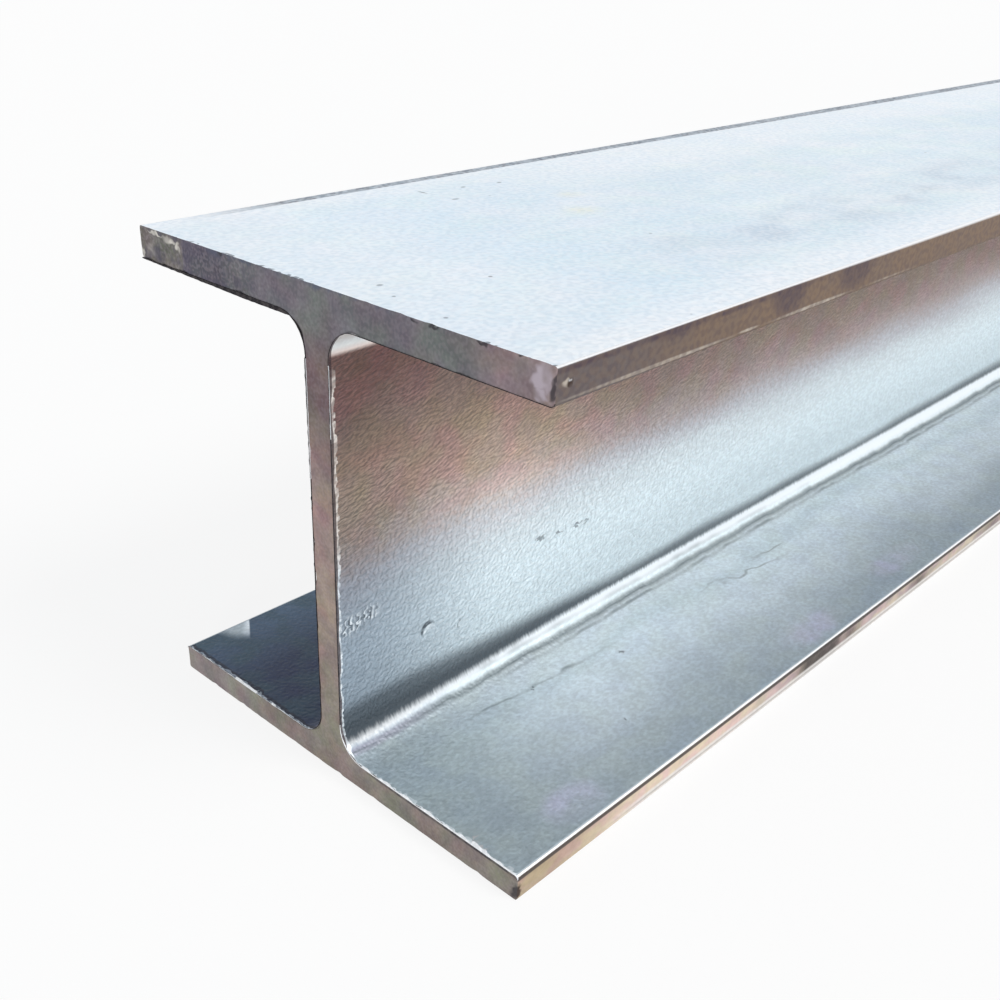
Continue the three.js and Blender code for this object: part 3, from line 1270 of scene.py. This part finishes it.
        # the left of the upper flange is speckled
        speckled = tree.times(face.over(x, self.speckled_side), on_upper)
        face.lay(self.lilac, grain[0], tree.lerp(speckled, 0.12, 0.22))
        face.lay(self.umber, grain[1], tree.lerp(speckled, 0.16, 0.30))
        face.lay(self.plum, speckled, small[2], 0.6)
        scuffed = tree.mix(tree.math("LESS_THAN", x, 0.0), self.lilac, self.cream)
        face.lay(scuffed, face.marks(self.pale_marks, shaken), tree.lerp(small[0], 0.5, 1.0))
        face.lay(self.steel_blue, face.marks(self.blued, shaken))
        face.lay(self.ink, face.marks(self.dark_marks, shaken), 0.85)
        # a dark line under the torn edge of the lower flange
        under = tree.times(face.band(z, self.under_edge), face.over(x, self.under_edge_from))
        face.lay(self.ink, under, tree.lerp(small[0], 0.9, 0.5))
        height = tree.times(face.pattern(Effect.GRAIN, Size=0.0012)[0], self.relief)
        return Look(roughness=tree.lerp(shade, 0.52, 0.64), height=height)


@dataclass(frozen=True)
class PlainFinish(SteelFinish):
    """Slate mill scale of a hidden face."""

    zone: Zone = Zone.UNDERSIDE
    scale_dark: Colour = (0.10, 0.13, 0.155)
    scale_light: Colour = (0.25, 0.29, 0.32)
    relief: float = 0.3 * MM

    def dress(self, face: Face) -> Look:
        """Lay the one coat of the face."""
        tree = face.tree
        broad = face.pattern(Effect.CLOUDS, Scale=12.0, Draw_Out=3.0, Seed=41.0)[0]
        face.colour = tree.mix(broad, self.scale_dark, self.scale_light)
        height = tree.times(face.pattern(Effect.SKIN, Size=0.002)[0], self.relief)
        return Look(roughness=tree.lerp(broad, 0.45, 0.6), height=height)


@dataclass(frozen=True)
class BurrFinish(SteelFinish):
    """Torn steel of the burr."""

    zone: Zone = Zone.BURR
    bright: Colour = (0.93, 0.95, 0.98)
    dull: Colour = (0.78, 0.80, 0.83)
    metallic: float = 0.0
    roughness: float = 0.45
    sheen: float = 0.5

    def dress(self, face: Face) -> Look:
        """Lay the one coat of the burr."""
        tone = face.pattern(Effect.CLOUDS, Scale=420.0, Draw_Out=1.0, Contrast=1.8, Seed=51.0)[0]
        face.colour = face.tree.mix(tone, self.bright, self.dull)
        return Look(roughness=self.roughness, sheen=self.sheen)


def finishes(shop: EffectShop, section: "Section") -> dict[Zone, bpy.types.Material]:
    """Make every finish.

    Args:
        shop: The shared effects.
        section: The section that the finishes follow.

    Returns:
        The materials by zone.
    """
    # the left channel is the right one's finish, dark and blue all over: painted shade on the side away from
    # the lamps
    shaded = ChannelFinish(
        zone=Zone.LEFT_CHANNEL,
        web=(
            Stop(32, (0.17, 0.22, 0.29)),
            Stop(90, (0.28, 0.34, 0.42)),
            Stop(118, (0.17, 0.15, 0.15)),
            Stop(160, (0.12, 0.10, 0.10)),
        ),
        flange=(
            Stop(20, (0.020, 0.028, 0.090)),
            Stop(60, (0.028, 0.050, 0.105)),
            Stop(95, (0.115, 0.200, 0.300)),
        ),
        flange_shade=(0.026, 0.040, 0.095),
        slate_and_shade=(0.015, 0.02, 0.04),
        violet=(0.85, 0.93, 1.0),
        moss=(0.045, 0.095, 0.120),
        polish_and_highlight=(0.60, 0.67, 0.76),
        far_polish_and_highlight=(0.60, 0.67, 0.76),
        lap=(0.05, 0.06, 0.08),
        upper_polish_and_highlight=(0.3, 0.3, 0.3),
        upper_rose=(0.3, 0.3, 0.3),
        rim=(0.025, 0.03, 0.05),
        rim_light=(0.5, 0.56, 0.62),
        gloss=1.0,
        shine_roughness=0.25,
        crest_shade=0.85,
        web_crest=0.1,
        light_patch_end=0.0262,
        patch_and_light_share=(0.8, 1.0),
        flange_near=0.5,
        teal_share=0.55,
        scraped=(),
        cracked=(),
        dashes=(),
        flakes=(),
        # a painted patch of light near the far edge of the left flange
        tint_and_light_patches=(Mark((-102, 27, 12), (15, 11, 5)),),
    )
    # the dark burr: scale, and a dark lip that stands in for shade below the upper flange
    hanging = BurrFinish(
        zone=Zone.DARK_BURR,
        bright=(0.055, 0.048, 0.050),
        dull=(0.018, 0.016, 0.020),
        roughness=0.75,
        sheen=0.15,
    )
    looks = (
        TopFinish(),
        ChannelFinish(),
        shaded,
        TipFinish(),
        PlainFinish(),
        SawnFinish(),
        BurrFinish(),
        hanging,
    )
    return {look.zone: look.make(shop, section) for look in looks}


# ---------------------------------------------------------------- the beam


def new_mesh(name: str, vertices: list[tuple], faces: list[tuple], slots: list[int],
             materials: list[bpy.types.Material]) -> bpy.types.Mesh:
    """Make a mesh.

    Args:
        name: Its name.
        vertices: Its points.
        faces: Its faces, as indices of points.
        slots: The material of each face.
        materials: The materials.

    Returns:
        The mesh.
    """
    mesh = bpy.data.meshes.new(name)
    mesh.from_pydata(vertices, [], faces)
    mesh.polygons.foreach_set("material_index", slots)
    mesh.update()
    for material in materials:
        mesh.materials.append(material)
    return mesh


def put(name: str, data: bpy.types.ID) -> bpy.types.Object:
    """Put something into the scene."""
    thing = bpy.data.objects.new(name, data)
    bpy.context.scene.collection.objects.link(thing)
    return thing


@dataclass(frozen=True)
class OutlinePoint:
    """A point of the rolled outline, in metres, with the direction that its face looks in."""

    x: float
    z: float
    normal: tuple[float, float]
    zone: Zone

    def raised(self, height: float) -> tuple[float, float]:
        """Where the point is when it is raised off its face."""
        return self.x + self.normal[0] * height, self.z + self.normal[1] * height

    def turned(self, depth: float) -> "OutlinePoint":
        """The same point after half a turn of the section about its middle."""
        other = {Zone.RIGHT_CHANNEL: Zone.LEFT_CHANNEL, Zone.TOP: Zone.UNDERSIDE}
        normal = (-self.normal[0], -self.normal[1])
        return OutlinePoint(-self.x, depth - self.z, normal, other.get(self.zone, self.zone))

    def between(self, other: "OutlinePoint", share: float) -> "OutlinePoint":
        """A point on the way to another one."""
        x, z = self.x + (other.x - self.x) * share, self.z + (other.z - self.z) * share
        normal = tuple(m + (n - m) * share for m, n in zip(self.normal, other.normal))
        return OutlinePoint(x, z, normal, self.zone)

    def noise(self, scale: float, shift: float) -> float:
        """A random number about 0 that goes with the place. It changes faster with a greater scale."""
        return noise.noise(Vector((self.x * scale, shift, self.z * scale)))


@dataclass
class Section:
    """The rolled section. Its overall sizes come from the beam part in model.glb."""

    width: float
    depth: float
    length: float
    flange: float = 12 * MM
    web: float = 12 * MM
    root_radius: float = 13 * MM
    toe_radius: float = 1.5 * MM
    heel_radius: float = 1 * MM
    step: float = 2.6 * MM  # about the longest facet of a flat face
    support: float = 0.5 * MM  # how far a flat face stops short of its arcs
    heel_parts: int = 4
    toe_parts: int = 7
    root_parts: int = 14

    def arc(self, x: float, z: float, radius: float, start: int, turn: int, parts: int,
            zone: Zone) -> list[OutlinePoint]:
        """Trace a quarter arc.

        Args:
            x: Centre across.
            z: Centre height.
            radius: Radius of the arc.
            start: Where it starts, in quarter turns from +X.
            turn: 1 for anticlockwise, -1 for clockwise.
            parts: How many facets it gets.
            zone: The zone that it belongs to.

        Returns:
            Its points.
        """
        points = []
        for i in range(parts + 1):
            angle = (start + turn * i / parts) * math.pi / 2
            c, s = math.cos(angle), math.sin(angle)
            points.append(OutlinePoint(x + radius * c, z + radius * s, (turn * c, turn * s), zone))
        return points

    def flat(self, start: OutlinePoint, x: float, z: float, zone: Zone) -> list[OutlinePoint]:
        """Trace a flat face, a little short of the arcs at its ends.

        Args:
            start: The point that it leaves from.
            x: Where it ends, across.
            z: Where it ends, in height.
            zone: The zone that it belongs to.

        Returns:
            Its points.
        """
        origin = Vector((start.x, start.z))
        run = Vector((x, z)) - origin
        along = run.normalized()
        inner = run.length - 2 * self.support
        parts = max(2, round(inner / self.step))
        points = []
        for i in range(parts + 1):
            place = origin + along * (self.support + inner * i / parts)
            points.append(OutlinePoint(place.x, place.y, (along.y, -along.x), zone))
        return points

    def outline(self) -> list[OutlinePoint]:
        """Trace the whole outline, anticlockwise from the lower right heel.

        Returns:
            Its points.
        """
        tip, root, top = self.width / 2, self.web / 2 + self.root_radius, self.depth
        channel = Zone.RIGHT_CHANNEL
        heel, toe, fillet = self.heel_radius, self.toe_radius, self.root_radius
        half = self.arc(tip - heel, heel, heel, -1, 1, self.heel_parts, Zone.TIPS)
        half += self.flat(half[-1], tip, self.flange - toe, Zone.TIPS)
        half += self.arc(tip - toe, self.flange - toe, toe, 0, 1, self.toe_parts, Zone.TIPS)
        half += self.flat(half[-1], root, self.flange, channel)
        half += self.arc(root, self.flange + fillet, fillet, -1, -1, self.root_parts, channel)
        half += self.flat(half[-1], self.web / 2, top - self.flange - fillet, channel)
        half += self.arc(root, top - self.flange - fillet, fillet, -2, -1, self.root_parts, channel)
        half += self.flat(half[-1], tip - toe, top - self.flange, channel)
        half += self.arc(tip - toe, top - self.flange + toe, toe, -1, 1, self.toe_parts, Zone.TIPS)
        half += self.flat(half[-1], tip, top - heel, Zone.TIPS)
        half += self.arc(tip - heel, top - heel, heel, 0, 1, self.heel_parts, Zone.TIPS)
        half += self.flat(half[-1], heel - tip, top, Zone.TOP)
        return half + [point.turned(top) for point in half]


@dataclass
class RolledBeam:
    """The beam itself: one rolled bar, sawn to length."""

    section: Section
    end_set_back: float = 0.25 * MM
    chip_least: float = 0.05 * MM
    chip_mean: float = 0.28 * MM
    chip_most: float = 1.1 * MM
    chip_unevenness: float = 0.9
    notch_from: float = 0.22  # only the highest of the coarse noise breaks a notch
    fine_scale: float = 420.0  # noise cells a metre
    coarse_scale: float = 140.0
    end_share: float = 0.6  # how much of a chip is lost from the length
    first_step: float = 1.2 * MM
    growth: float = 0.35
    longest_step: float = 60 * MM
    waviness: float = 0.12 * MM
    wave_scale: Triple = (9.0, 2.2, 9.0)  # noise cells a metre: the waves are long ones
    sharp_angle: float = 35.0

    def stations(self) -> list[float]:
        """Work out where the rings stand, close at the sawn ends and wide in the middle.

        Returns:
            Distances from the middle, along the beam.
        """
        half = self.section.length / 2 - self.end_set_back
        steps, inwards = [], 0.0
        while inwards < half - self.longest_step:
            steps.append(inwards)
            inwards += min(self.longest_step, self.first_step + self.growth * inwards)
        near = [inset - half for inset in steps]
        return near + [0.0] + [-y for y in reversed(near)]

    def dip(self, point: OutlinePoint, y: float) -> float:
        """How far the rolled face lies below its full size at one place."""
        place = Vector((point.x, y, point.z)) * Vector(self.wave_scale)
        return self.waviness * (0.5 + 0.5 * noise.noise(place))

    def chip(self, point: OutlinePoint, y: float) -> float:
        """How much the saw broke away from the edge at one place."""
        rough = point.noise(self.fine_scale, y)
        notch = max(0.0, point.noise(self.coarse_scale, y + 3.0) - self.notch_from)
        size = self.chip_mean * (1.0 + self.chip_unevenness * rough) + self.chip_most * notch * 2.0
        return min(self.chip_most, max(self.chip_least, size))

    def rings(self, outline: list[OutlinePoint], stations: list[float]) -> list[tuple]:
        """Points of the rolled faces, ring by ring."""
        vertices = []
        for index, y in enumerate(stations):
            at_end = index in (0, len(stations) - 1)
            for point in outline:
                shift = math.copysign(self.end_share * self.chip(point, y), -y) if at_end else 0.0
                x, z = point.raised(-self.dip(point, y))
                vertices.append((x, y + shift, z))
        return vertices

    def build(self, materials: dict[Zone, bpy.types.Material]) -> bpy.types.Object:
        """Build and dress the beam.

        Args:
            materials: The finish of each zone.

        Returns:
            The beam.
        """
        zones = [zone for zone in materials if zone not in (Zone.BURR, Zone.DARK_BURR)]
        outline, stations = self.section.outline(), self.stations()
        count = len(outline)
        pairs = [(i, (i + 1) % count) for i in range(count)]
        vertices, faces, slots = self.rings(outline, stations), [], []
        for ring in range(len(stations) - 1):
            a, b = ring * count, (ring + 1) * count
            for i, j in pairs:
                faces.append((a + i, a + j, b + j, b + i))
                slots.append(zones.index(outline[j if outline[i].zone is Zone.TIPS else i].zone))
        for ring, step in ((0, 1), (len(stations) - 1, -1)):
            base, start, y = ring * count, len(vertices), stations[ring]
            for point in outline:
                x, z = point.raised(-self.chip(point, y) - self.dip(point, y))
                vertices.append((x, y, z))
            rim = [(base + i, start + i, start + j, base + j) for i, j in pairs]
            faces += [face[::step] for face in rim + [tuple(range(start, start + count))]]
            slots += [zones.index(Zone.ENDS)] * (count + 1)
        mesh = new_mesh("beam", vertices, faces, slots, [materials[zone] for zone in zones])
        mesh.polygons.foreach_set("use_smooth", [True] * len(faces))
        mesh.set_sharp_from_angle(angle=math.radians(self.sharp_angle))
        beam = put("beam", mesh)
        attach(beam, "root")
        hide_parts(BEAM_NODE)
        return beam


@dataclass(frozen=True)
class Lip:
    """Size of the burr at one place, in millimetres, and whether it is dark there: scale in places, painted
    shade in others.
    """

    height: float
    reach: float
    dark: bool
    front: float = 1.0  # share of the height that stands up straight
    bright_front: bool = False


@dataclass
class SawBurr:
    """The torn lip that the saw left along the inner edges of one end."""

    section: Section
    far: bool
    spacing: float = 0.6 * MM
    bite: float = 0.15 * MM  # how far it reaches into the steel
    skin: float = 0.02 * MM  # how far it stays inside the cut
    toe_points: int = 8  # how many points of each toe it covers
    flange_zone: float = 26 * MM  # a flange and its root, from the outer face
    flakes: tuple[tuple[float, float], ...] = (
        (-65 * MM, -50 * MM),
        (-39 * MM, -37 * MM),
        (79 * MM, 86 * MM),
    )
    slow_scale: float = 60.0  # noise cells a metre
    lump_scale: float = 170.0
    fast_scale: float = 480.0
    finest_scale: float = 1900.0

    def path(self, zone: Zone) -> list[OutlinePoint]:
        """Points close together along the inner edge of one channel and the toes beside it.

        Args:
            zone: The channel.

        Returns:
            The points.
        """
        outline = self.section.outline()
        inside = [i for i, point in enumerate(outline) if point.zone is zone]
        edge = outline[inside[0] - self.toe_points:inside[-1] + 1 + self.toe_points]
        points = []
        for a, b in zip(edge, edge[1:]):
            parts = max(1, round(math.hypot(b.x - a.x, b.z - a.z) / self.spacing))
            points += [a.between(b, i / parts) for i in range(parts)]
        return points + [edge[-1]]

    def upper_lip(self, point: OutlinePoint, fast: float) -> Lip:
        """Burr below the upper flange. On the left a dark lip hangs from it as far as the root: painted
        shade standing in for the shaded underside.
        """
        if point.x >= 0:
            return Lip(max(-0.1, 0.5 * fast - 0.3), 0.4, True)
        share = abs(point.x) / self.section.width
        by_root = 1.0 - min(1.0, (share - 0.1) / 0.4)
        sag = max(0.0, self.section.depth - self.section.flange - point.z) / MM
        return Lip(max(0.1 * fast, 0.2 + 1.1 * min(1.0, 1.3 * by_root) + 0.15 * fast - sag), 1.1, True)

    def lower_lip(self, point: OutlinePoint, slow: float, fast: float, seed: float) -> Lip:
        """Burr on the lower flange: lumpy, with torn flakes in a few places."""
        lumps = point.noise(self.lump_scale, seed + 3.0)
        finest = point.noise(self.finest_scale, seed + 4.0)
        full = 1.0 if point.x > 0 else 0.4
        if abs(point.x) < self.section.web / 2 + self.section.root_radius:
            full = 0.3
        flake = 1.0 if any(first < point.x < last for first, last in self.flakes) else 0.0
        height = full * max(0.05, 0.5 + 0.4 * slow + 1.2 * lumps + 0.5 * fast) + flake * (0.8 + 0.9 * lumps)
        reach = full * max(0.2, 0.7 + 0.4 * slow + 0.9 * lumps + 0.4 * finest) + flake * (0.6 + lumps)
        hidden = point.x < 0 and point.z > self.section.flange + 2 * MM
        return Lip(height, reach, hidden, 0.3, flake > 0 or point.x > 0)

    def lip(self, point: OutlinePoint) -> Lip:
        """Work out the burr at one place."""
        seed = 5.0 if self.far else 0.0
        slow = point.noise(self.slow_scale, seed)
        fast = point.noise(self.fast_scale, seed + 2.0)
        level = point.z / self.section.depth
        if point.z > self.section.depth - self.flange_zone:
            return self.upper_lip(point, fast)
        if point.z < self.flange_zone:
            return self.lower_lip(point, slow, fast, seed)
        if point.x > 0:
            return Lip(max(0.02, 0.2 + 0.25 * slow + 0.2 * fast), 0.4, level < 0.74)
        upper_part = (level - 0.65) / 0.2
        if upper_part > 0:
            return Lip(0.1 + 0.35 * min(1.0, upper_part) + 0.3 * fast, 0.6, slow < 0.1)
        return Lip(max(-0.1, 0.8 * (fast + 0.5 * slow - 0.35)), 0.5, True)

    def raised(self, point: OutlinePoint, height: float) -> tuple[float, float]:
        """Where a point ends up when it is raised off its face.

        Args:
            point: The point.
            height: How far it is raised.

        Returns:
            Its place, across and up.
        """
        if point.zone is not Zone.TIPS:
            return point.raised(height)
        if point.x < 0 and point.z > self.section.depth / 2:
            # squares off the toe
            edge = self.section.width / 2 - self.bite
            return max(point.x, -edge), min(point.z, self.section.depth - self.section.flange) - height
        return point.raised(height * point.normal[1] ** 2)

    def build(self, materials: dict[Zone, bpy.types.Material]) -> bpy.types.Object:
        """Build the burr of this end.

        Args:
            materials: The finish of each zone.

        Returns:
            The burr.
        """
        sign = 1.0 if self.far else -1.0
        end = sign * self.section.length / 2
        vertices, faces, slots = [], [], []
        for zone in (Zone.RIGHT_CHANNEL, Zone.LEFT_CHANNEL):
            first = len(vertices)
            points = self.path(zone)
            lips = [self.lip(point) for point in points]
            for point, lip in zip(points, lips):
                top, reach = lip.height * MM, lip.reach * MM
                corners = ((self.skin, -self.bite), (self.skin, top * lip.front), (reach * 0.5, top),
                           (reach + self.bite, -self.bite))
                for inwards, height in corners:
                    x, z = self.raised(point, height)
                    vertices.append((x, end - sign * inwards, z))
            for k, lip in enumerate(lips[:-1]):
                a, b = first + 4 * k, first + 4 * (k + 1)
                for i in range(4):
                    j = (i + 1) % 4
                    faces.append((a + i, b + i, b + j, a + j))
                    slots.append(1 if lip.dark or (i == 0 and not lip.bright_front) else 0)
            last = first + 4 * (len(points) - 1)
            faces += [tuple(range(first, first + 4)), tuple(range(last + 3, last - 1, -1))]
            slots += [1, 1]
        if self.far:
            faces = [face[::-1] for face in faces]
        name = "far_end_burr" if self.far else "near_end_burr"
        mesh = new_mesh(name, vertices, faces, slots, [materials[Zone.BURR], materials[Zone.DARK_BURR]])
        burr = put(name, mesh)
        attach(burr, "root")
        return burr


# ---------------------------------------------------------------- studio


@dataclass
class Camera:
    """The camera, placed from the near end of the beam."""

    near_end: float
    place: Triple = (0.2842, -0.2280, 0.3030)
    yaw: float = 43.292
    pitch: float = 31.705
    roll: float = -1.972
    focal_pixels: float = 1128.75
    picture: float = 1000.0
    centre: tuple[float, float] = (460.0, 608.4)
    sensor: float = 36.0
    clip: tuple[float, float] = (0.01, 200.0)

    def build(self) -> None:
        """Make it the scene's camera."""
        yaw, pitch, roll = (math.radians(a) for a in (self.yaw, self.pitch, self.roll))
        ahead = Vector((-math.sin(yaw) * math.cos(pitch), math.cos(yaw) * math.cos(pitch), -math.sin(pitch)))
        level = Vector((math.cos(yaw), math.sin(yaw), 0.0))
        down = ahead.cross(level)
        right = math.cos(roll) * level + math.sin(roll) * down
        up = math.sin(roll) * level - math.cos(roll) * down
        turn = Matrix((right, up, -ahead)).transposed().to_4x4()
        data = bpy.data.cameras.new("camera")
        data.sensor_width = self.sensor
        data.lens = self.focal_pixels * self.sensor / self.picture
        data.shift_x = 0.5 - self.centre[0] / self.picture
        data.shift_y = self.centre[1] / self.picture - 0.5
        data.clip_start, data.clip_end = self.clip
        camera = put("camera", data)
        camera.matrix_world = Matrix.Translation(Vector(self.place) + Vector((0, self.near_end, 0))) @ turn
        bpy.context.scene.camera = camera


@dataclass
class Studio:
    """Pale floor, white surroundings and soft lamps."""

    floor_size: float = 60.0
    floor_colour: Colour = (0.93, 0.93, 0.93)
    floor_glow: float = 0.86
    white: Colour = (1.0, 1.0, 1.0)
    fill: Colour = (0.90, 0.95, 1.0)
    fill_strength: float = 0.5

    def seen(self, tree: Tree) -> Socket:
        """1 for a ray that shows the background, by itself or in a reflection."""
        path = tree.add("ShaderNodeLightPath").outputs
        return tree.most(path["Is Glossy Ray"], path["Is Transmission Ray"], path["Is Camera Ray"])

    def mixed(self, tree: Tree, share: Socket, first: bpy.types.Node, second: bpy.types.Node) -> Socket:
        """Mix two shaders."""
        shaders = {0: share, 1: first.outputs[0], 2: second.outputs[0]}
        return tree.add("ShaderNodeMixShader", shaders).outputs[0]

    def world(self) -> None:
        """White to the camera and in reflections, soft fill light otherwise."""
        world = bpy.data.worlds.new("surroundings")
        tree = Tree.fresh(world)
        fill = tree.add("ShaderNodeBackground", {"Color": self.fill, "Strength": self.fill_strength})
        white = tree.add("ShaderNodeBackground", {"Color": self.white, "Strength": 1.0})
        tree.add("ShaderNodeOutputWorld", {"Surface": self.mixed(tree, self.seen(tree), fill, white)})
        bpy.context.scene.world = world

    def floor(self) -> None:
        """Build the floor."""
        material = bpy.data.materials.new("floor")
        tree = Tree.fresh(material)
        lit = tree.add("ShaderNodeBsdfDiffuse", {"Color": self.floor_colour})
        white = tree.add("ShaderNodeEmission", {"Color": self.white, "Strength": 1.0})
        share = tree.times(self.seen(tree), self.floor_glow)
        tree.add("ShaderNodeOutputMaterial", {"Surface": self.mixed(tree, share, lit, white)})
        half = self.floor_size / 2
        corners = [(-half, -half, 0), (half, -half, 0), (half, half, 0), (-half, half, 0)]
        put("floor", new_mesh("floor", corners, [(0, 1, 2, 3)], [0], [material]))

    def lamp(self, name: str, azimuth: float, elevation: float, strength: float, softness: float,
             colour: Colour) -> None:
        """Hang a soft, distant lamp.

        Args:
            name: Its name.
            azimuth: Where it stands round the beam, in degrees from +X towards +Y.
            elevation: Its height above the floor, in degrees.
            strength: Its strength.
            softness: How wide it looks, in degrees.
            colour: Its colour.
        """
        data = bpy.data.lights.new(name, "SUN")
        data.energy = strength
        data.angle = math.radians(softness)
        data.color = colour
        a, e = math.radians(azimuth), math.radians(elevation)
        towards = Vector((math.cos(a) * math.cos(e), math.sin(a) * math.cos(e), math.sin(e)))
        put(name, data).rotation_euler = towards.to_track_quat("Z", "Y").to_euler()

    def build(self) -> None:
        """Set up the studio."""
        bpy.context.scene.view_settings.view_transform = "Standard"
        self.world()
        self.floor()
        self.lamp("key", azimuth=20, elevation=48, strength=1.6, softness=25, colour=(1.0, 0.98, 0.95))
        self.lamp("grazing", azimuth=-55, elevation=9, strength=1.2, softness=10, colour=(1.0, 0.99, 0.96))


def main() -> None:
    """Build the beam, dress it, and set up the studio."""
    logging.basicConfig(level=logging.INFO, format="%(name)s: %(message)s")
    low, high = (Vector(corner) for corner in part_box(BEAM_NODE))
    section = Section(width=high.x - low.x, depth=high.z - low.z, length=high.y - low.y)
    Camera(near_end=low.y).build()
    Studio().build()
    materials = finishes(EffectShop(), section)
    beam = RolledBeam(section).build(materials)
    LOG.info("%s: %d faces", beam.name, len(beam.data.polygons))
    for far in (False, True):
        burr = SawBurr(section, far=far).build(materials)
        LOG.info("%s: %d faces", burr.name, len(burr.data.polygons))


if __name__ == "__main__":
    main()
